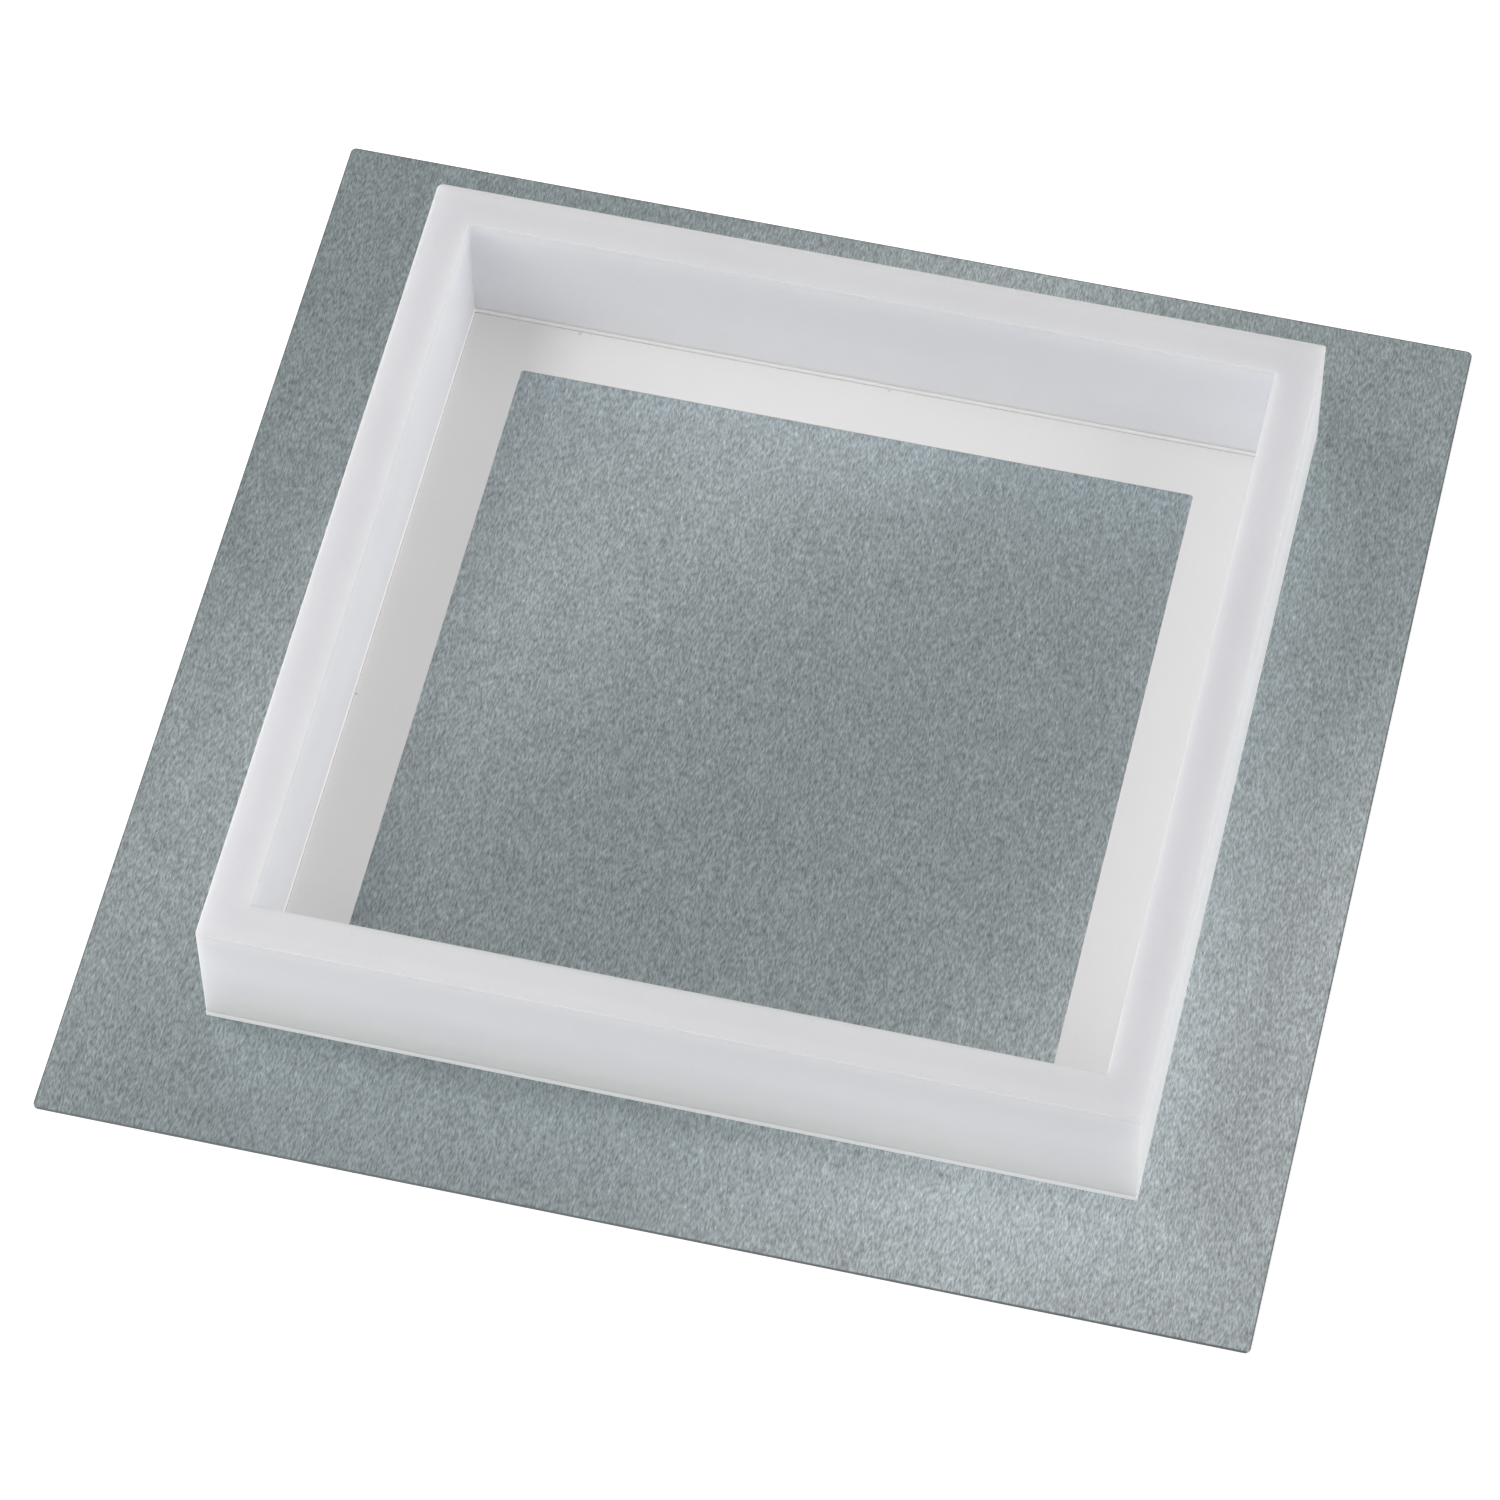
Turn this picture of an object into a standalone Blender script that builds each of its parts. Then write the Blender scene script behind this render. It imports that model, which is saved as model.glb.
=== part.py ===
"""Shadow box: a translucent wall frame taped onto a square sheet-steel backing plate.

Units are metres and +Z is up. The origin is the middle of the plate's underside.
+X runs to the right and +Y to the back, along the plate's sides.
"""
import math

import bmesh
import bpy

MM = 0.001

# Clearance that separate solids keep where the real pieces touch
GAP = 0.3 * MM

# Backing plate: one square of galvanised sheet steel
PLATE_SIDE = 300.0 * MM
PLATE_THICKNESS = 0.7 * MM
PLATE_CORNER_RADIUS = 1.4 * MM

# Wall frame: one cast ring of frosted translucent resin
FRAME_SIDE = 231.5 * MM
FRAME_WALL = 10.9 * MM
FRAME_TOP_ABOVE_PLATE = 38.1 * MM
FRAME_OUTER_RADIUS = 0.5 * MM
FRAME_SOFT_CORNER_RADIUS = 1.7 * MM
FRAME_INNER_RADIUS = 0.4 * MM

# Mounting tape: four strips under the frame's foot
TAPE_THICKNESS = 1.2 * MM
TAPE_EDGE_INSET = 0.3 * MM

# Window liner: a thin white sheet inside the frame, with a square window
LINER_THICKNESS = 0.3 * MM
LINER_SIDE_CLEARANCE = 0.3 * MM
WINDOW_SIDE = 177.0 * MM
WINDOW_SHIFT_Y = 1.0 * MM
WINDOW_CORNER_RADIUS = 0.9 * MM

ARC_STEPS = 5

# Heights and half-widths that follow from the driving sizes
FRAME_HALF = FRAME_SIDE / 2
FRAME_INNER_HALF = FRAME_HALF - FRAME_WALL
LINER_HALF = FRAME_INNER_HALF - LINER_SIDE_CLEARANCE
LAYER_BASE_Z = PLATE_THICKNESS + GAP
FRAME_BASE_Z = LAYER_BASE_Z + TAPE_THICKNESS + GAP
FRAME_TOP_Z = PLATE_THICKNESS + FRAME_TOP_ABOVE_PLATE


def clear_scene():
    for old in list(bpy.data.objects):
        bpy.data.objects.remove(old, do_unlink=True)


def make_material(name, colour, roughness, metallic):
    material = bpy.data.materials.new(name)
    material.use_nodes = True
    shader = material.node_tree.nodes["Principled BSDF"]
    shader.inputs["Base Color"].default_value = (*colour, 1.0)
    shader.inputs["Roughness"].default_value = roughness
    shader.inputs["Metallic"].default_value = metallic
    return material


def corner_arc(centre_x, centre_y, radius, start_angle):
    """Points of a quarter circle, counter-clockwise from start_angle."""
    points = []
    for step in range(ARC_STEPS + 1):
        angle = start_angle + step * (math.pi / 2) / ARC_STEPS
        x = centre_x + radius * math.cos(angle)
        y = centre_y + radius * math.sin(angle)
        points.append((x, y))
    return points


def rounded_square(half, radii):
    """Counter-clockwise outline; radii go front left, front right, back right, back left."""
    signs = [(-1, -1), (1, -1), (1, 1), (-1, 1)]
    points = []
    for index, ((sign_x, sign_y), radius) in enumerate(zip(signs, radii)):
        centre_x = sign_x * (half - radius)
        centre_y = sign_y * (half - radius)
        start_angle = math.pi + index * math.pi / 2
        points += corner_arc(centre_x, centre_y, radius, start_angle)
    return points


def add_loop(bm, points, shift_y=0.0):
    """A closed loop of edges in the plane z = 0."""
    verts = [bm.verts.new((x, y + shift_y, 0.0)) for x, y in points]
    return [bm.edges.new((a, b)) for a, b in zip(verts, verts[1:] + verts[:1])]


def thicken(bm, thickness):
    """Extrude the flat faces upwards into a closed body."""
    grown = bmesh.ops.extrude_face_region(bm, geom=bm.faces[:])
    raised = [item for item in grown["geom"] if isinstance(item, bmesh.types.BMVert)]
    bmesh.ops.translate(bm, verts=raised, vec=(0.0, 0.0, thickness))
    bmesh.ops.recalc_face_normals(bm, faces=bm.faces[:])


def add_piece(name, bm, material, location, parent):
    mesh = bpy.data.meshes.new(name)
    bm.to_mesh(mesh)
    bm.free()
    mesh.materials.append(material)
    piece = bpy.data.objects.new(name, mesh)
    bpy.context.scene.collection.objects.link(piece)
    piece.location = location
    piece.parent = parent
    return piece


def plate_mesh(half, radii, thickness):
    bm = bmesh.new()
    loop = add_loop(bm, rounded_square(half, radii))
    bmesh.ops.contextual_create(bm, geom=loop)
    thicken(bm, thickness)
    return bm


def ring_mesh(outer_half, outer_radii, inner_half, inner_radii, thickness, hole_shift_y=0.0):
    bm = bmesh.new()
    outer = add_loop(bm, rounded_square(outer_half, outer_radii))
    inner = add_loop(bm, rounded_square(inner_half, inner_radii), hole_shift_y)
    bmesh.ops.bridge_loops(bm, edges=outer + inner)
    thicken(bm, thickness)
    return bm


def strip_mesh(length, width, thickness):
    bm = bmesh.new()
    bmesh.ops.create_cube(bm, size=1.0)
    bmesh.ops.scale(bm, verts=bm.verts[:], vec=(length, width, thickness))
    bmesh.ops.translate(bm, verts=bm.verts[:], vec=(0.0, 0.0, thickness / 2))
    return bm


def make_backing_plate(parent):
    steel = make_material("galvanised_steel", (0.33, 0.38, 0.40), 0.45, 1.0)
    bm = plate_mesh(PLATE_SIDE / 2, [PLATE_CORNER_RADIUS] * 4, PLATE_THICKNESS)
    add_piece("backing_plate", bm, steel, (0.0, 0.0, 0.0), parent)


def make_wall_frame(parent):
    resin = make_material("frosted_resin", (0.86, 0.87, 0.90), 0.5, 0.0)
    sharp = FRAME_OUTER_RADIUS
    outer_radii = [sharp, sharp, sharp, FRAME_SOFT_CORNER_RADIUS]
    inner_radii = [FRAME_INNER_RADIUS] * 4
    height = FRAME_TOP_Z - FRAME_BASE_Z
    bm = ring_mesh(FRAME_HALF, outer_radii, FRAME_INNER_HALF, inner_radii, height)
    add_piece("wall_frame", bm, resin, (0.0, 0.0, FRAME_BASE_Z), parent)


def make_window_liner(parent):
    card = make_material("white_liner", (0.80, 0.79, 0.78), 0.6, 0.0)
    liner_radii = [FRAME_INNER_RADIUS] * 4
    window_radii = [WINDOW_CORNER_RADIUS] * 4
    bm = ring_mesh(
        LINER_HALF, liner_radii, WINDOW_SIDE / 2, window_radii, LINER_THICKNESS, WINDOW_SHIFT_Y
    )
    add_piece("window_liner", bm, card, (0.0, 0.0, LAYER_BASE_Z), parent)


def make_tape_strips(parent):
    """Two long strips at front and back, and two shorter ones between them."""
    tape = make_material("mounting_tape", (0.88, 0.88, 0.88), 0.5, 0.0)
    width = FRAME_WALL - 2 * TAPE_EDGE_INSET
    long_length = FRAME_SIDE - 2 * TAPE_EDGE_INSET
    short_length = long_length - 2 * width - 2 * GAP
    offset = FRAME_HALF - FRAME_WALL / 2
    strips = [
        ("tape_front", long_length, width, (0.0, -offset)),
        ("tape_back", long_length, width, (0.0, offset)),
        ("tape_left", width, short_length, (-offset, 0.0)),
        ("tape_right", width, short_length, (offset, 0.0)),
    ]
    for name, size_x, size_y, (x, y) in strips:
        bm = strip_mesh(size_x, size_y, TAPE_THICKNESS)
        add_piece(name, bm, tape, (x, y, LAYER_BASE_Z), parent)


def main():
    clear_scene()
    root = bpy.data.objects.new("shadow_box", None)
    bpy.context.scene.collection.objects.link(root)
    make_backing_plate(root)
    make_window_liner(root)
    make_tape_strips(root)
    make_wall_frame(root)


main()
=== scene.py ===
"""Looks of an open shadow box.

A frosted wall frame is taped to a zinc coated steel sheet, with a white liner inside.
Every length is in metres, in the CAD model's own frame.
"""

import math

import bmesh
import bpy
from mathutils import Euler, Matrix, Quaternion, Vector


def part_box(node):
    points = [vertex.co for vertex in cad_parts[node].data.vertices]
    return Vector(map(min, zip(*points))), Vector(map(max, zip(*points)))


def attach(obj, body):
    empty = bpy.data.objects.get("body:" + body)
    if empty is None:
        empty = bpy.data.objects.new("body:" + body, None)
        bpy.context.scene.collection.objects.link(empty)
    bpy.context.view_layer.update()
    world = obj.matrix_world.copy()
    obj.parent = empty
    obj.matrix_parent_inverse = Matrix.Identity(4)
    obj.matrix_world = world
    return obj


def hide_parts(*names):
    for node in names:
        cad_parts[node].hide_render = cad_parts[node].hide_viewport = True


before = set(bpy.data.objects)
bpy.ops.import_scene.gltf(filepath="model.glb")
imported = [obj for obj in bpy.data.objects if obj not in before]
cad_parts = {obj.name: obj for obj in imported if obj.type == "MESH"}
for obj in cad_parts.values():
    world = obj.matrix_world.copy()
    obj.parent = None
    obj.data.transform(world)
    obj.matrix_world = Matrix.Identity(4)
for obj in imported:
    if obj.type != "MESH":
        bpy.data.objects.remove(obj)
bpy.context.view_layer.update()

MM = 0.001

# Places taken from the CAD nodes, in metres.
SHEET_LOW, SHEET_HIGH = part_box("backing_plate")
FRAME_LOW, FRAME_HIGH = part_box("wall_frame")

SHEET_HALF = SHEET_HIGH.x
SHEET_TOP = SHEET_HIGH.z
TAPE_TOP = FRAME_LOW.z
FRAME_HALF = FRAME_HIGH.x
FRAME_TOP = FRAME_HIGH.z

# Sizes that the CAD model shares but has no box for.
WALL = 10.9 * MM
FRAME_INNER_HALF = FRAME_HALF - WALL
LINER_DEPTH = 0.3 * MM
WINDOW_SIDE = 177.0 * MM
WINDOW_SHIFT = 1.0 * MM

# Small shapes along the edges.
SHEET_CORNER = 1.4 * MM
SHEET_BURR = 0.09 * MM
FRAME_CORNER = 0.5 * MM
FRAME_SOFT_CORNER = 1.7 * MM
FRAME_INNER_CORNER = 0.4 * MM
FRAME_EDGE = 0.07 * MM
FITTING_GAP = 0.1 * MM
WINDOW_CORNER = 0.9 * MM
LINER_EDGE = 0.06 * MM
TAPE_EDGE = 0.22 * MM

# Steps in each kind of rounded edge.
WIDE_STEPS = 8
WINDOW_STEPS = 6
CORNER_STEPS = 4
FINE_STEPS = 3
EDGE_STEPS = 2

# Faces that meet at less than this are shaded as one surface, in degrees.
SMOOTH_ANGLE = 35.0
THIN_SHEET_ANGLE = 50.0
# Two places closer than this count as one.
TINY = 1e-6


# ---------------------------------------------------------------------------
# Modelling by hand
# ---------------------------------------------------------------------------

def deselect_everything():
    """Nothing stays selected, the CAD nodes included."""
    bpy.ops.object.select_all(action="DESELECT")


def settle(piece):
    """The piece's place and size go into its mesh."""
    deselect_everything()
    piece.select_set(True)
    bpy.context.view_layer.objects.active = piece
    bpy.ops.object.transform_apply(location=True, rotation=True, scale=True)


def start_block(name, low, high):
    """A block between two corners, to be shaped."""
    deselect_everything()
    low = Vector(low)
    high = Vector(high)
    bpy.ops.mesh.primitive_cube_add(size=1.0, location=(low + high) / 2, scale=high - low)
    piece = bpy.context.active_object
    piece.name = name
    piece.data.name = name
    settle(piece)
    return piece


def enter_edit(mode):
    """Edit mode with nothing selected."""
    bpy.ops.object.mode_set(mode="EDIT")
    bpy.ops.mesh.select_mode(type=mode)
    bpy.ops.mesh.select_all(action="DESELECT")


def pick_faces(piece, wanted):
    """Selects the faces that wanted(face) says yes to."""
    enter_edit("FACE")
    mesh = bmesh.from_edit_mesh(piece.data)
    for face in mesh.faces:
        face.select_set(wanted(face))
    bmesh.update_edit_mesh(piece.data)


def pick_edges(piece, wanted):
    """Selects the edges that wanted(edge) says yes to."""
    enter_edit("EDGE")
    mesh = bmesh.from_edit_mesh(piece.data)
    for edge in mesh.edges:
        edge.select_set(wanted(edge))
    bmesh.update_edit_mesh(piece.data)


def leave_edit():
    bpy.ops.object.mode_set(mode="OBJECT")


def is_flat(face):
    """The face looks straight up or down."""
    return abs(face.normal.z) > 0.99


def is_upright(edge):
    """The edge runs along Z."""
    run = edge.verts[1].co - edge.verts[0].co
    return abs(run.z) > 0.5 * run.length and abs(run.x) < TINY and abs(run.y) < TINY


def is_rim(edge):
    """The edge lies between a flat face and a side."""
    if len(edge.link_faces) != 2:
        return False
    flats = [is_flat(face) for face in edge.link_faces]
    return flats[0] != flats[1]


def round_edges(piece, wanted, radius, steps):
    """A rounded edge of that radius along the wanted edges."""
    pick_edges(piece, wanted)
    bpy.ops.mesh.bevel(
        offset=radius,
        offset_type="OFFSET",
        segments=steps,
        profile=0.5,
        affect="EDGES",
        clamp_overlap=False,
    )
    leave_edit()


def open_middle(piece, border, shift_y=0.0):
    """A square opening right through, border from the sides, moved along Y by shift_y."""
    pick_faces(piece, is_flat)
    bpy.ops.mesh.inset(thickness=border, use_individual=True)
    if shift_y:
        bpy.ops.transform.translate(value=(0.0, shift_y, 0.0))
    bpy.ops.mesh.bridge_edge_loops()
    leave_edit()


def finish_surface(piece, angle=SMOOTH_ANGLE):
    """Smooth over the rounded edges, with the flat faces kept flat."""
    deselect_everything()
    piece.select_set(True)
    bpy.context.view_layer.objects.active = piece
    bpy.ops.object.shade_smooth_by_angle(angle=math.radians(angle))
    weighted = piece.modifiers.new("flat faces", "WEIGHTED_NORMAL")
    weighted.keep_sharp = True
    weighted.weight = 100
    bpy.ops.object.modifier_apply(modifier=weighted.name)


def copy_turned(piece, name, quarter_turns):
    """A copy with its own mesh, turned about the middle of the box."""
    twin = piece.copy()
    twin.data = piece.data.copy()
    twin.name = name
    twin.data.name = name
    bpy.context.scene.collection.objects.link(twin)
    twin.rotation_euler = Euler((0.0, 0.0, quarter_turns * math.pi / 2))
    settle(twin)
    return twin


# ---------------------------------------------------------------------------
# Pieces
# ---------------------------------------------------------------------------

def make_steel_sheet():
    """The sheared sheet: small round corners and a fine burr line on both faces."""
    sheet = start_block("steel_sheet", SHEET_LOW, SHEET_HIGH)
    round_edges(sheet, is_upright, SHEET_CORNER, WIDE_STEPS)
    round_edges(sheet, is_rim, SHEET_BURR, EDGE_STEPS)
    finish_surface(sheet, THIN_SHEET_ANGLE)
    return sheet


def make_frosted_frame():
    """One cast frame: crisp edges, and one corner that is rounder than the others."""
    low = (-FRAME_HALF, -FRAME_HALF, TAPE_TOP)
    high = (FRAME_HALF, FRAME_HALF, FRAME_TOP)
    walls = start_block("frosted_frame", low, high)
    open_middle(walls, WALL)

    def is_outer(edge):
        return is_upright(edge) and abs(edge.verts[0].co.x) > FRAME_HALF - TINY

    def is_soft(edge):
        place = edge.verts[0].co
        return is_outer(edge) and place.x < 0 < place.y

    def is_crisp(edge):
        return is_outer(edge) and not is_soft(edge)

    def is_inner(edge):
        place = edge.verts[0].co
        at_side = abs(abs(place.x) - FRAME_INNER_HALF) < TINY
        return is_upright(edge) and at_side and abs(abs(place.y) - FRAME_INNER_HALF) < TINY

    round_edges(walls, is_soft, FRAME_SOFT_CORNER, WIDE_STEPS)
    round_edges(walls, is_crisp, FRAME_CORNER, CORNER_STEPS)
    round_edges(walls, is_inner, FRAME_INNER_CORNER, CORNER_STEPS)
    round_edges(walls, is_rim, FRAME_EDGE, EDGE_STEPS)
    finish_surface(walls)
    return walls


def make_liner_sheet():
    """Thin card with a square window, laid on the steel."""
    half = FRAME_INNER_HALF - FITTING_GAP
    low = (-half, -half, SHEET_TOP)
    high = (half, half, SHEET_TOP + LINER_DEPTH)
    card = start_block("liner_sheet", low, high)
    open_middle(card, half - WINDOW_SIDE / 2, WINDOW_SHIFT)

    def is_card_corner(edge):
        return is_upright(edge) and abs(edge.verts[0].co.x) > half - TINY

    def is_window_corner(edge):
        return is_upright(edge) and not is_card_corner(edge)

    round_edges(card, is_window_corner, WINDOW_CORNER, WINDOW_STEPS)
    round_edges(card, is_card_corner, FRAME_INNER_CORNER, FINE_STEPS)
    round_edges(card, is_rim, LINER_EDGE, EDGE_STEPS)
    finish_surface(card, THIN_SHEET_ANGLE)
    return card


def make_tape_strips():
    """Four strips of foam tape between the sheet and the frame, cut to meet at the corners."""
    outer = FRAME_HALF
    inner = FRAME_INNER_HALF
    long_strip = start_block(
        "foam_tape_front",
        (-outer, -outer, SHEET_TOP),
        (outer, -inner, TAPE_TOP),
    )
    round_edges(long_strip, is_rim, TAPE_EDGE, FINE_STEPS)
    finish_surface(long_strip)
    short_strip = start_block(
        "foam_tape_left",
        (-outer, -inner, SHEET_TOP),
        (-inner, inner, TAPE_TOP),
    )
    round_edges(short_strip, is_rim, TAPE_EDGE, FINE_STEPS)
    finish_surface(short_strip)
    return {
        "tape_front": long_strip,
        "tape_back": copy_turned(long_strip, "foam_tape_back", 2),
        "tape_left": short_strip,
        "tape_right": copy_turned(short_strip, "foam_tape_right", 2),
    }


# ---------------------------------------------------------------------------
# Node groups that the materials share
# ---------------------------------------------------------------------------

def new_group(name, inputs, outputs):
    """A shader node group with named inputs (name, kind, default) and outputs (name, kind)."""
    group = bpy.data.node_groups.new(name, "ShaderNodeTree")
    for label, kind, default in inputs:
        socket = group.interface.new_socket(name=label, in_out="INPUT", socket_type=kind)
        if default is not None:
            socket.default_value = default
    for label, kind in outputs:
        group.interface.new_socket(name=label, in_out="OUTPUT", socket_type=kind)
    way_in = group.nodes.new("NodeGroupInput")
    way_out = group.nodes.new("NodeGroupOutput")
    return group, way_in.outputs, way_out.inputs


def add_math(tree, operation, first, second=None, third=None, clamp=False):
    """A Math node; each value is a number or another node's output."""
    node = tree.nodes.new("ShaderNodeMath")
    node.operation = operation
    node.use_clamp = clamp
    for index, value in enumerate((first, second, third)):
        if value is None:
            continue
        if isinstance(value, (int, float)):
            node.inputs[index].default_value = value
        else:
            tree.links.new(value, node.inputs[index])
    return node.outputs[0]


def add_vector_math(tree, operation, first, second=None, scale=None):
    """A Vector Math node, used in the same way."""
    node = tree.nodes.new("ShaderNodeVectorMath")
    node.operation = operation
    for index, value in enumerate((first, second)):
        if value is None:
            continue
        if isinstance(value, (tuple, Vector)):
            node.inputs[index].default_value = value
        else:
            tree.links.new(value, node.inputs[index])
    if scale is not None:
        if isinstance(scale, (int, float)):
            node.inputs["Scale"].default_value = scale
        else:
            tree.links.new(scale, node.inputs["Scale"])
    return node.outputs["Value"] if operation == "LENGTH" else node.outputs["Vector"]


def add_noise(tree, place, scale, detail=2.0, roughness=0.5):
    """A Noise Texture's value at a place."""
    node = tree.nodes.new("ShaderNodeTexNoise")
    node.noise_dimensions = "3D"
    node.inputs["Detail"].default_value = detail
    node.inputs["Roughness"].default_value = roughness
    tree.links.new(place, node.inputs["Vector"])
    if isinstance(scale, (int, float)):
        node.inputs["Scale"].default_value = scale
    else:
        tree.links.new(scale, node.inputs["Scale"])
    return node.outputs[0]


def add_range(tree, value, low, high, to_low, to_high, smooth=True):
    """A Map Range node from one range to another."""
    node = tree.nodes.new("ShaderNodeMapRange")
    node.interpolation_type = "SMOOTHSTEP" if smooth else "LINEAR"
    tree.links.new(value, node.inputs["Value"])
    ends = (("From Min", low), ("From Max", high), ("To Min", to_low), ("To Max", to_high))
    for label, amount in ends:
        if isinstance(amount, (int, float)):
            node.inputs[label].default_value = amount
        else:
            tree.links.new(amount, node.inputs[label])
    return node.outputs["Result"]


def make_grain_group():
    """Short streaks of grain: tone swings about 1, height about 0.5."""
    group, given, made = new_group(
        "Streaked Grain",
        [
            ("Place", "NodeSocketVector", None),
            ("Across", "NodeSocketFloat", 0.001),
            ("Along", "NodeSocketFloat", 0.001),
            ("Contrast", "NodeSocketFloat", 0.1),
            ("Offset", "NodeSocketFloat", 0.0),
        ],
        [("Tone", "NodeSocketFloat"), ("Height", "NodeSocketFloat")],
    )
    across = add_math(group, "DIVIDE", 1.0, given["Across"])
    along = add_math(group, "DIVIDE", 1.0, given["Along"])
    stretch = group.nodes.new("ShaderNodeCombineXYZ")
    group.links.new(across, stretch.inputs["X"])
    group.links.new(along, stretch.inputs["Y"])
    group.links.new(across, stretch.inputs["Z"])
    stretched = add_vector_math(group, "MULTIPLY", given["Place"], stretch.outputs[0])
    shift = group.nodes.new("ShaderNodeCombineXYZ")
    group.links.new(given["Offset"], shift.inputs["X"])
    group.links.new(given["Offset"], shift.inputs["Z"])
    moved = add_vector_math(group, "ADD", stretched, shift.outputs[0])
    value = add_noise(group, moved, 1.0, roughness=0.55)
    swing = add_math(group, "SUBTRACT", value, 0.5)
    scaled = add_math(group, "MULTIPLY", swing, given["Contrast"])
    tone = add_math(group, "ADD", scaled, 1.0)
    group.links.new(tone, made["Tone"])
    group.links.new(value, made["Height"])
    return group


EDGE_NOISE_SCALE = 900.0
SMUDGE_NOISE_SCALE = 2500.0


def make_edge_group():
    """How near a square piece's outer edges a place is: 1 at the edge, 0 further in."""
    group, given, made = new_group(
        "Edge Line",
        [
            ("Place", "NodeSocketVector", None),
            ("Half Side", "NodeSocketFloat", 0.1),
            ("Width", "NodeSocketFloat", 0.001),
            ("Breakup", "NodeSocketFloat", 0.0),
        ],
        [("Mask", "NodeSocketFloat")],
    )
    parts = group.nodes.new("ShaderNodeSeparateXYZ")
    group.links.new(given["Place"], parts.inputs[0])
    side_x = add_math(group, "ABSOLUTE", parts.outputs["X"])
    side_y = add_math(group, "ABSOLUTE", parts.outputs["Y"])
    outermost = add_math(group, "MAXIMUM", side_x, side_y)
    gap = add_math(group, "SUBTRACT", given["Half Side"], outermost)
    distance = add_math(group, "ABSOLUTE", gap)
    ratio = add_math(group, "DIVIDE", distance, given["Width"])
    rough = add_noise(group, given["Place"], EDGE_NOISE_SCALE)
    swing = add_math(group, "SUBTRACT", rough, 0.5)
    broken = add_math(group, "MULTIPLY_ADD", swing, given["Breakup"], ratio)
    mask = add_range(group, broken, 0.0, 1.0, 1.0, 0.0)
    group.links.new(mask, made["Mask"])
    return group


def make_dust_group():
    """Sparse fine dust: 1 on a speck, 0 elsewhere."""
    group, given, made = new_group(
        "Fine Dust",
        [
            ("Place", "NodeSocketVector", None),
            ("Spacing", "NodeSocketFloat", 0.004),
            ("Speck", "NodeSocketFloat", 0.06),
            ("Amount", "NodeSocketFloat", 0.3),
        ],
        [("Mask", "NodeSocketFloat")],
    )
    scale = add_math(group, "DIVIDE", 1.0, given["Spacing"])
    cells = group.nodes.new("ShaderNodeTexVoronoi")
    cells.feature = "F1"
    group.links.new(given["Place"], cells.inputs["Vector"])
    group.links.new(scale, cells.inputs["Scale"])
    dot = add_range(group, cells.outputs["Distance"], 0.0, given["Speck"], 1.0, 0.0)
    pick = group.nodes.new("ShaderNodeSeparateColor")
    group.links.new(cells.outputs["Color"], pick.inputs[0])
    kept = add_math(group, "LESS_THAN", pick.outputs[0], given["Amount"])
    mask = add_math(group, "MULTIPLY", dot, kept, clamp=True)
    group.links.new(mask, made["Mask"])
    return group


def make_speck_group():
    """One soft round mark at a given spot: 1 in the middle, 0 outside."""
    group, given, made = new_group(
        "Glue Speck",
        [
            ("Place", "NodeSocketVector", None),
            ("Spot", "NodeSocketVector", None),
            ("Radius", "NodeSocketFloat", 0.0005),
        ],
        [("Mask", "NodeSocketFloat")],
    )
    away = add_vector_math(group, "SUBTRACT", given["Place"], given["Spot"])
    wobble = add_noise(group, given["Place"], SMUDGE_NOISE_SCALE, detail=1.0)
    distance = add_vector_math(group, "LENGTH", away)
    uneven = add_math(group, "MULTIPLY", distance, add_math(group, "ADD", wobble, 0.5))
    mask = add_range(group, uneven, 0.0, given["Radius"], 1.0, 0.0)
    group.links.new(mask, made["Mask"])
    return group


GRAIN = make_grain_group()
EDGE = make_edge_group()
DUST = make_dust_group()
GLUE_SPECK = make_speck_group()


# ---------------------------------------------------------------------------
# Materials
# ---------------------------------------------------------------------------

def new_material(name):
    """An empty material with a Principled shader; gives its tree, shader and place."""
    material = bpy.data.materials.new(name)
    material.use_nodes = True
    tree = material.node_tree
    tree.nodes.clear()
    shader = tree.nodes.new("ShaderNodeBsdfPrincipled")
    output = tree.nodes.new("ShaderNodeOutputMaterial")
    tree.links.new(shader.outputs[0], output.inputs["Surface"])
    place = tree.nodes.new("ShaderNodeTexCoord").outputs["Object"]
    return material, tree, shader, place


def use_group(tree, group, place, **values):
    """One of the shared groups in this material, with its own values."""
    node = tree.nodes.new("ShaderNodeGroup")
    node.node_tree = group
    tree.links.new(place, node.inputs["Place"])
    for label, value in values.items():
        node.inputs[label.replace("_", " ")].default_value = value
    return node.outputs


def tinted(tree, colour, tone):
    """A colour made lighter or darker by a tone."""
    return add_vector_math(tree, "SCALE", colour, scale=tone)


def mix_colour(tree, amount, first, second):
    """Blends two colours; each is a tuple or another node's output."""
    node = tree.nodes.new("ShaderNodeMix")
    node.data_type = "RGBA"
    tree.links.new(amount, node.inputs["Factor"])
    for label, value in (("A", first), ("B", second)):
        socket = [s for s in node.inputs if s.name == label and s.type == "RGBA"][0]
        if isinstance(value, tuple):
            socket.default_value = (*value, 1.0)
        else:
            tree.links.new(value, socket)
    return [s for s in node.outputs if s.type == "RGBA"][0]


def add_roughness(tree, shader, height, smoothest, swing):
    """Roughness that rises with a height, from the smoothest by the swing."""
    roughness = add_math(tree, "MULTIPLY_ADD", height, swing, smoothest)
    tree.links.new(roughness, shader.inputs["Roughness"])


def add_bump(tree, shader, height, strength, distance):
    """Fine relief from a height."""
    bump = tree.nodes.new("ShaderNodeBump")
    bump.inputs["Strength"].default_value = strength
    bump.inputs["Distance"].default_value = distance
    tree.links.new(height, bump.inputs["Height"])
    tree.links.new(bump.outputs[0], shader.inputs["Normal"])


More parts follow.
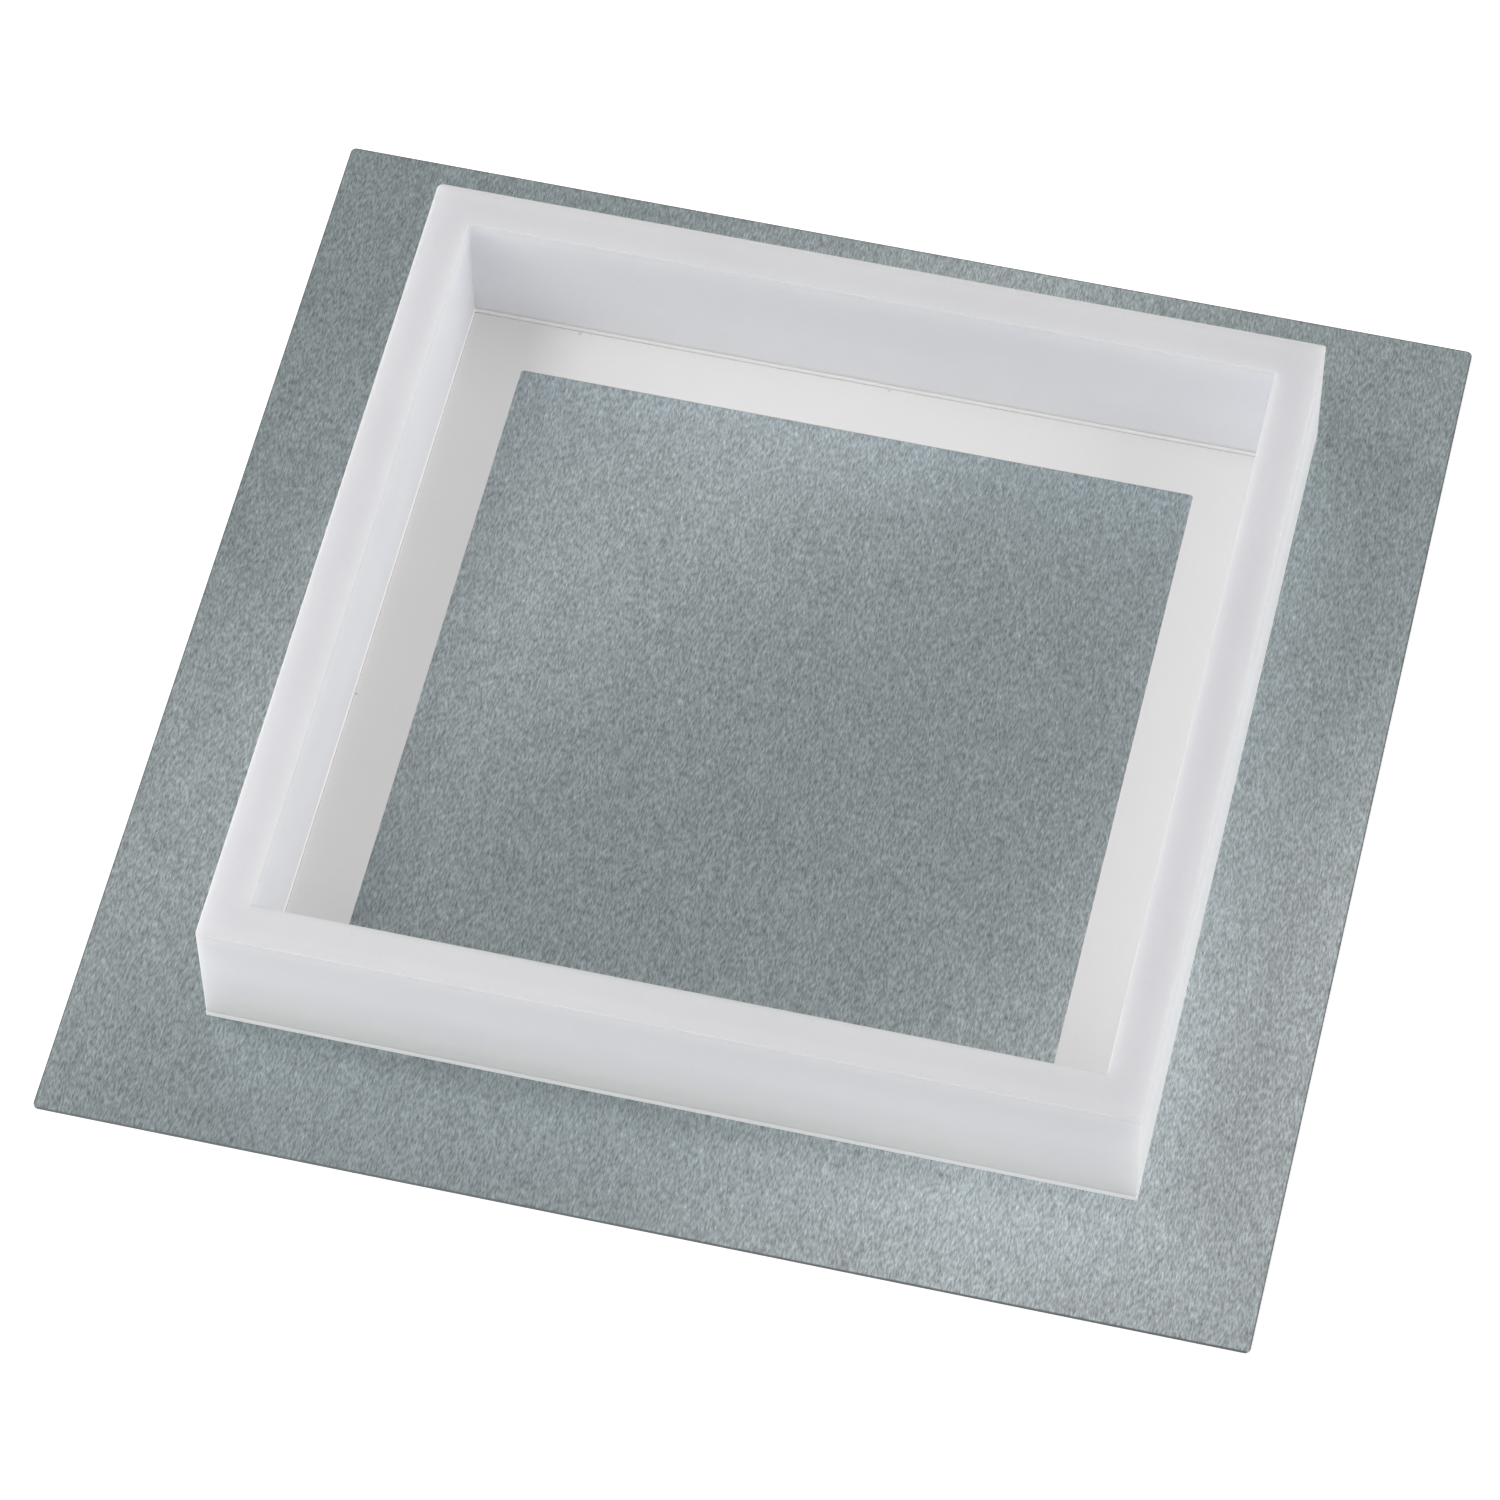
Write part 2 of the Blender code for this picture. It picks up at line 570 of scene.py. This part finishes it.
ZINC_REFLECTION_DARK = (0.375, 0.435, 0.452)
ZINC_REFLECTION_PALE = (0.655, 0.722, 0.748)
ZINC_EDGE = (0.19, 0.21, 0.22)
# Bands of painted reflection that cross the sheet: distance in mm along the band axis, and
# how far the zinc goes from dark to pale there.
BAND_ANGLE = 52.0
BAND_REACH = 200.0
PAINTED_REFLECTION_BANDS = (
    (-195, 0.00),
    (-135, 0.12),
    (-105, 0.36),
    (-70, 0.60),
    (-45, 0.45),
    (-20, 0.18),
    (25, 0.10),
    (80, 0.26),
    (112, 0.70),
    (150, 1.14),
    (195, 0.86),
)
# The zinc's colour also gets a little paler towards the back and the right.
DRIFT_ALONG = 0.9
DRIFT_ACROSS = 0.45
# Fine streaks, a slower flow through them, and wide clouds.
ZINC_STREAKS = {"Across": 0.40 * MM, "Along": 1.6 * MM, "Contrast": 1.68}
ZINC_FLOW = {"Across": 1.4 * MM, "Along": 5.0 * MM, "Contrast": 0.42, "Offset": 7.0}
ZINC_CLOUDS = {"Across": 30.0 * MM, "Along": 45.0 * MM, "Contrast": 0.12, "Offset": 3.0}
# The bare sheared edge, a little ragged.
BARE_EDGE = {"Half_Side": SHEET_HALF, "Width": 0.5 * MM, "Breakup": 0.5}
ZINC_ROUGHNESS = {"smoothest": 0.38, "swing": 0.16}
ZINC_RELIEF = {"strength": 0.25, "distance": 0.06 * MM}


def make_zinc_material():
    """Zinc coated sheet: fine satin streaks along Y, with soft bands of painted reflection
    across.
    """
    material, tree, shader, place = new_material("galvanised zinc")
    fine = use_group(tree, GRAIN, place, **ZINC_STREAKS)
    coarse = use_group(tree, GRAIN, place, **ZINC_FLOW)
    patch = use_group(tree, GRAIN, place, **ZINC_CLOUDS)

    parts = tree.nodes.new("ShaderNodeSeparateXYZ")
    tree.links.new(place, parts.inputs[0])
    turn = math.radians(BAND_ANGLE)
    along_x = add_math(tree, "MULTIPLY", parts.outputs["X"], math.sin(turn))
    along_y = add_math(tree, "MULTIPLY", parts.outputs["Y"], -math.cos(turn))
    across_bands = add_math(tree, "ADD", along_x, along_y)
    reach = BAND_REACH * MM
    position = add_range(tree, across_bands, -reach, reach, 0.0, 1.0, smooth=False)
    # The ramp paints the reflection bands into the zinc's colour, from dark to pale.
    ramp = tree.nodes.new("ShaderNodeValToRGB")
    ramp.color_ramp.interpolation = "B_SPLINE"
    stops = ramp.color_ramp.elements
    while len(stops) > 1:
        stops.remove(stops[-1])
    dark = Vector(ZINC_REFLECTION_DARK)
    pale = Vector(ZINC_REFLECTION_PALE)
    for index, (distance, amount) in enumerate(PAINTED_REFLECTION_BANDS):
        spot = (distance + BAND_REACH) / (2 * BAND_REACH)
        stop = stops[0] if index == 0 else stops.new(spot)
        stop.position = spot
        stop.color = (*dark.lerp(pale, amount), 1.0)
    tree.links.new(position, ramp.inputs[0])

    tone = add_math(tree, "MULTIPLY", fine["Tone"], coarse["Tone"])
    tone = add_math(tree, "MULTIPLY", tone, patch["Tone"])
    drift = add_math(tree, "MULTIPLY_ADD", parts.outputs["Y"], DRIFT_ALONG, 1.0)
    drift = add_math(tree, "MULTIPLY_ADD", parts.outputs["X"], DRIFT_ACROSS, drift)
    tone = add_math(tree, "MULTIPLY", tone, drift)
    colour = tinted(tree, ramp.outputs["Color"], tone)
    edge = use_group(tree, EDGE, place, **BARE_EDGE)
    colour = mix_colour(tree, edge["Mask"], colour, ZINC_EDGE)
    tree.links.new(colour, shader.inputs["Base Color"])
    shader.inputs["Metallic"].default_value = 1.0
    add_roughness(tree, shader, fine["Height"], **ZINC_ROUGHNESS)
    add_bump(tree, shader, fine["Height"], **ZINC_RELIEF)
    return material


RESIN = (0.877, 0.882, 0.913)
RESIN_PAINTED_SHADE = (0.736, 0.742, 0.766)
# How far light spreads inside the wall: less near the foot, where the tape stops it.
FOOT_ZONE = 12.0 * MM
FOOT_LIGHT_DEPTH = 2.0 * MM
LIGHT_DEPTH = 8.0 * MM
# The outer faces have painted light, paler towards the foot.
FOOT_PAINTED_LIGHT = (0.985, 0.968, 0.975)
FOOT_LIGHT_AND_SHADE_HEIGHT = 16.0 * MM
FOOT_PAINTED_LIGHT_AMOUNT = 0.9
# Painted shade makes the inner faces a little greyer there.
FOOT_PAINTED_SHADE_TONE = 0.97
# Painted shade makes the rim a little greyer than the sides, and the upper part of the outer
# faces below it too.
RIM_PAINTED_SHADE_TONE = 0.90
UPPER_PAINTED_SHADE_HEIGHT = 17.0 * MM
UPPER_PAINTED_SHADE_AMOUNT = 0.65
# Thin edges let more light through, so they are toned down where faces meet the rim.
EDGE_REACH = 3.0 * MM
EDGE_TONE = 0.90
RIM_EDGE_TONE = 0.93
# Frosting over the whole surface, and faint clouds in the casting.
FROSTING = {"Across": 0.6 * MM, "Along": 0.6 * MM, "Contrast": 0.05}
RESIN_CLOUDS = {"Across": 30.0 * MM, "Along": 30.0 * MM, "Contrast": 0.07, "Offset": 5.0}
# What counts as the outer faces, and as the outer border of the rim.
OUTER_FACES = {"Half_Side": FRAME_HALF, "Width": 0.7 * MM, "Breakup": 0.2}
RIM_BORDER = {"Half_Side": FRAME_HALF, "Width": EDGE_REACH, "Breakup": 0.0}
RESIN_IOR = 1.49
RESIN_GLOSS = 0.35
# Red, green and blue light spread nearly alike inside.
RESIN_LIGHT_SPREAD = (1.0, 0.98, 1.05)
RESIN_ROUGHNESS = {"smoothest": 0.42, "swing": 0.2}
RESIN_RELIEF = {"strength": 0.2, "distance": 0.03 * MM}


def make_resin_material():
    """Frosted cast acrylic: milky, faintly lilac, with light moving through the wall; its
    colour has painted shade on the rim, the upper outer faces and the foot, and painted light
    low on the outer faces.
    """
    material, tree, shader, place = new_material("frosted acrylic")
    frosting = use_group(tree, GRAIN, place, **FROSTING)
    cloud = use_group(tree, GRAIN, place, **RESIN_CLOUDS)
    tone = add_math(tree, "MULTIPLY", frosting["Tone"], cloud["Tone"])
    parts = tree.nodes.new("ShaderNodeSeparateXYZ")
    tree.links.new(place, parts.inputs[0])
    # Painted shade: the rim's colour is toned down.
    rim = add_range(
        tree, parts.outputs["Z"], FRAME_TOP - FRAME_EDGE, FRAME_TOP, 1.0, RIM_PAINTED_SHADE_TONE
    )
    tone = add_math(tree, "MULTIPLY", tone, rim)
    # Painted shade near the foot of the walls.
    foot_shade = add_range(
        tree, parts.outputs["Z"], TAPE_TOP, TAPE_TOP + FOOT_LIGHT_AND_SHADE_HEIGHT, FOOT_PAINTED_SHADE_TONE, 1.0
    )
    tone = add_math(tree, "MULTIPLY", tone, foot_shade)
    colour = tinted(tree, RESIN, tone)
    outer_face = use_group(tree, EDGE, place, **OUTER_FACES)
    # Painted shade on the upper part of the outer faces.
    high_up = add_range(
        tree, parts.outputs["Z"], FRAME_TOP - UPPER_PAINTED_SHADE_HEIGHT, FRAME_TOP, 0.0, UPPER_PAINTED_SHADE_AMOUNT
    )
    upper_shade = add_math(tree, "MULTIPLY", high_up, outer_face["Mask"])
    colour = mix_colour(tree, upper_shade, colour, RESIN_PAINTED_SHADE)
    near_rim = add_range(
        tree, parts.outputs["Z"], FRAME_TOP - EDGE_REACH, FRAME_TOP, 1.0, EDGE_TONE
    )
    colour = tinted(tree, colour, near_rim)
    border = use_group(tree, EDGE, place, **RIM_BORDER)
    on_rim = add_range(tree, parts.outputs["Z"], FRAME_TOP - FRAME_EDGE, FRAME_TOP, 0.0, 1.0)
    rim_border = add_math(tree, "MULTIPLY", border["Mask"], on_rim)
    rim_border = add_math(tree, "MULTIPLY_ADD", rim_border, RIM_EDGE_TONE - 1.0, 1.0)
    colour = tinted(tree, colour, rim_border)
    # Painted light low on the outer faces.
    low_down = add_range(
        tree, parts.outputs["Z"], TAPE_TOP, TAPE_TOP + FOOT_LIGHT_AND_SHADE_HEIGHT, FOOT_PAINTED_LIGHT_AMOUNT, 0.0
    )
    pale = add_math(tree, "MULTIPLY", low_down, outer_face["Mask"])
    colour = mix_colour(tree, pale, colour, FOOT_PAINTED_LIGHT)
    tree.links.new(colour, shader.inputs["Base Color"])
    add_roughness(tree, shader, frosting["Height"], **RESIN_ROUGHNESS)
    shader.inputs["IOR"].default_value = RESIN_IOR
    shader.inputs["Specular IOR Level"].default_value = RESIN_GLOSS
    shader.subsurface_method = "RANDOM_WALK"
    shader.inputs["Subsurface Weight"].default_value = 1.0
    shader.inputs["Subsurface Radius"].default_value = RESIN_LIGHT_SPREAD
    depth = add_range(
        tree, parts.outputs["Z"], TAPE_TOP, TAPE_TOP + FOOT_ZONE, FOOT_LIGHT_DEPTH, LIGHT_DEPTH
    )
    tree.links.new(depth, shader.inputs["Subsurface Scale"])
    add_bump(tree, shader, frosting["Height"], **RESIN_RELIEF)
    return material


CARD = (0.85, 0.838, 0.836)
SPECK = (0.16, 0.14, 0.12)
# Smudges of dried glue close to the walls: x, y and radius in mm, and strength.
GLUE_SMUDGES = (
    (-76.5, 104.1, 0.9, 0.25),
    (-73.8, 104.3, 0.5, 0.20),
    (5.6, 104.2, 0.6, 0.30),
    (-104.3, -17.0, 0.5, 0.50),
)
# Paper fibres, faint clouds, and a few specks.
FIBRES = {"Across": 0.5 * MM, "Along": 0.9 * MM, "Contrast": 0.05}
CARD_CLOUDS = {"Across": 20.0 * MM, "Along": 20.0 * MM, "Contrast": 0.03, "Offset": 2.0}
CARD_SPECKS = {"Spacing": 12.0 * MM, "Speck": 0.02, "Amount": 0.06}
CARD_GLOSS = 0.3
CARD_ROUGHNESS = {"smoothest": 0.55, "swing": 0.15}
CARD_RELIEF = {"strength": 0.25, "distance": 0.04 * MM}


def make_card_material():
    """White card: fine fibres, a few specks, and smudges close to the walls."""
    material, tree, shader, place = new_material("white card")
    fibre = use_group(tree, GRAIN, place, **FIBRES)
    cloud = use_group(tree, GRAIN, place, **CARD_CLOUDS)
    tone = add_math(tree, "MULTIPLY", fibre["Tone"], cloud["Tone"])
    colour = tinted(tree, CARD, tone)
    specks = use_group(tree, DUST, place, **CARD_SPECKS)
    colour = mix_colour(tree, specks["Mask"], colour, SPECK)
    card_top = SHEET_TOP + LINER_DEPTH
    for x, y, radius, strength in GLUE_SMUDGES:
        spot = Vector((x * MM, y * MM, card_top))
        smudge = use_group(tree, GLUE_SPECK, place, Spot=spot, Radius=radius * MM)
        amount = add_math(tree, "MULTIPLY", smudge["Mask"], strength)
        colour = mix_colour(tree, amount, colour, SPECK)
    tree.links.new(colour, shader.inputs["Base Color"])
    add_roughness(tree, shader, fibre["Height"], **CARD_ROUGHNESS)
    shader.inputs["Specular IOR Level"].default_value = CARD_GLOSS
    add_bump(tree, shader, fibre["Height"], **CARD_RELIEF)
    return material


TAPE = (0.93, 0.93, 0.935)
# Each strip is given a little painted glow, standing in for light carried out of the wall
# above it.
TAPE_PAINTED_GLOW = {"tape_front": 0.13, "tape_back": 0.03, "tape_left": 0.16, "tape_right": 0.09}
TAPE_PAINTED_GLOW_COLOUR = (0.98, 0.96, 1.0, 1.0)
FOAM_CELLS = {"Across": 0.4 * MM, "Along": 0.4 * MM, "Contrast": 0.10}
FOAM_LIGHT_DEPTH = 0.5 * MM
FOAM_MILKINESS = 0.4
FOAM_GLOSS = 0.3
FOAM_ROUGHNESS = {"smoothest": 0.5, "swing": 0.2}
FOAM_RELIEF = {"strength": 0.3, "distance": 0.05 * MM}


def make_tape_material(name, glow):
    """Translucent foam tape: fine cells, matt, with light inside and a faint painted glow."""
    material, tree, shader, place = new_material(name)
    cells = use_group(tree, GRAIN, place, **FOAM_CELLS)
    colour = tinted(tree, TAPE, cells["Tone"])
    tree.links.new(colour, shader.inputs["Base Color"])
    add_roughness(tree, shader, cells["Height"], **FOAM_ROUGHNESS)
    shader.inputs["Specular IOR Level"].default_value = FOAM_GLOSS
    shader.subsurface_method = "RANDOM_WALK"
    shader.inputs["Subsurface Weight"].default_value = FOAM_MILKINESS
    shader.inputs["Subsurface Radius"].default_value = (1.0, 1.0, 1.0)
    shader.inputs["Subsurface Scale"].default_value = FOAM_LIGHT_DEPTH
    # Painted glow: the strip gives off a little light of its own.
    shader.inputs["Emission Color"].default_value = TAPE_PAINTED_GLOW_COLOUR
    shader.inputs["Emission Strength"].default_value = glow
    add_bump(tree, shader, cells["Height"], **FOAM_RELIEF)
    return material


TABLE_GLOW = 0.5
TABLE_ROUGHNESS = 0.9
TABLE_WHITE = (0.92, 0.92, 0.92)
TABLE_SHADE = {"Across": 2.0 * MM, "Along": 2.0 * MM, "Contrast": 0.01}


def make_floor_material():
    """Plain white table."""
    material, tree, shader, place = new_material("white table")
    shade = use_group(tree, GRAIN, place, **TABLE_SHADE)
    colour = tinted(tree, TABLE_WHITE, shade["Tone"])
    tree.links.new(colour, shader.inputs["Base Color"])
    shader.inputs["Roughness"].default_value = TABLE_ROUGHNESS
    shader.inputs["Specular IOR Level"].default_value = 0.0
    shader.inputs["Emission Color"].default_value = (1.0, 1.0, 1.0, 1.0)
    # The table looks white to the camera, without lighting the object from below.
    sight = tree.nodes.new("ShaderNodeLightPath")
    glow = add_math(tree, "MULTIPLY", sight.outputs["Is Camera Ray"], TABLE_GLOW)
    tree.links.new(glow, shader.inputs["Emission Strength"])
    return material


def dress(piece, material):
    """Gives a piece its one material."""
    piece.data.materials.clear()
    piece.data.materials.append(material)


# ---------------------------------------------------------------------------
# The object
# ---------------------------------------------------------------------------

zinc = make_zinc_material()
resin = make_resin_material()
card_stock = make_card_material()

steel_sheet = make_steel_sheet()
dress(steel_sheet, zinc)
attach(steel_sheet, "root")
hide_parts("backing_plate")

frosted_frame = make_frosted_frame()
dress(frosted_frame, resin)
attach(frosted_frame, "root")
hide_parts("wall_frame")

liner_sheet = make_liner_sheet()
dress(liner_sheet, card_stock)
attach(liner_sheet, "root")
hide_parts("window_liner")

for node, strip in make_tape_strips().items():
    dress(strip, make_tape_material("foam of " + node, TAPE_PAINTED_GLOW[node]))
    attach(strip, "root")
    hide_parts(node)


# ---------------------------------------------------------------------------
# Studio
# ---------------------------------------------------------------------------

FLOOR_SIDE = 12.0
FLOOR_HEIGHT = -0.1 * MM
deselect_everything()
bpy.ops.mesh.primitive_plane_add(size=FLOOR_SIDE, location=(0.0, 0.0, FLOOR_HEIGHT))
floor = bpy.context.active_object
floor.name = "floor"
dress(floor, make_floor_material())


def from_direction(azimuth, elevation, distance):
    """A place seen from the object: azimuth 0 is in front, 90 to its right."""
    turn = math.radians(azimuth)
    rise = math.radians(elevation)
    return Vector((
        math.sin(turn) * math.cos(rise),
        -math.cos(turn) * math.cos(rise),
        math.sin(rise),
    )) * distance


def add_softbox(name, azimuth, elevation, distance, size, radiance):
    """A square soft light that looks at the object, as bright as radiance."""
    lamp = bpy.data.lights.new(name, "AREA")
    lamp.shape = "SQUARE"
    lamp.size = size
    lamp.energy = radiance * math.pi * size * size
    holder = bpy.data.objects.new(name, lamp)
    bpy.context.scene.collection.objects.link(holder)
    holder.location = from_direction(azimuth, elevation, distance)
    holder.rotation_mode = "QUATERNION"
    holder.rotation_quaternion = (-holder.location).to_track_quat("-Z", "Y")
    return holder


# Name, azimuth, elevation, distance, size and brightness.
SOFTBOXES = (
    ("key from the left", -90.0, 56.0, 2.2, 0.6, 8.8),
    ("broad panel on the left", -90.0, 24.0, 2.6, 2.4, 1.1),
    ("broad panel on the right", 90.0, 22.0, 2.6, 2.4, 1.88),
    ("high panel on the right", 90.0, 48.0, 2.6, 1.4, 0.3),
    ("small panel close at the front left", -40.0, 30.0, 0.75, 0.45, 1.6),
    ("high panel in front", 0.0, 52.0, 2.6, 1.4, 0.35),
    ("panel behind", 180.0, 45.0, 2.6, 1.4, 0.1),
)
ROOM_LIGHT = 0.4
ROOM_COLOUR = (1.0, 0.985, 0.962, 1.0)
for softbox in SOFTBOXES:
    add_softbox(*softbox)

world = bpy.data.worlds.new("studio")
bpy.context.scene.world = world
world.use_nodes = True
room = world.node_tree.nodes["Background"]
room.inputs["Color"].default_value = ROOM_COLOUR
room.inputs["Strength"].default_value = ROOM_LIGHT

CAMERA_AZIMUTH = 14.0
CAMERA_ELEVATION = 57.1
CAMERA_ROLL = -0.90
CAMERA_DISTANCE = 1.7818
LENS_LENGTH = 171.3
SENSOR_WIDTH = 36.0
CAMERA_TARGET = Vector((-4.14 * MM, -11.07 * MM, SHEET_TOP))

lens = bpy.data.cameras.new("camera")
lens.lens = LENS_LENGTH
lens.sensor_width = SENSOR_WIDTH
camera = bpy.data.objects.new("camera", lens)
bpy.context.scene.collection.objects.link(camera)
toward = from_direction(CAMERA_AZIMUTH, CAMERA_ELEVATION, CAMERA_DISTANCE)
camera.location = CAMERA_TARGET + toward
camera.rotation_mode = "QUATERNION"
level = (-toward).to_track_quat("-Z", "Y")
camera.rotation_quaternion = level @ Quaternion((0.0, 0.0, 1.0), math.radians(CAMERA_ROLL))
bpy.context.scene.camera = camera

bpy.context.scene.view_settings.view_transform = "Standard"
bpy.context.scene.view_settings.look = "None"
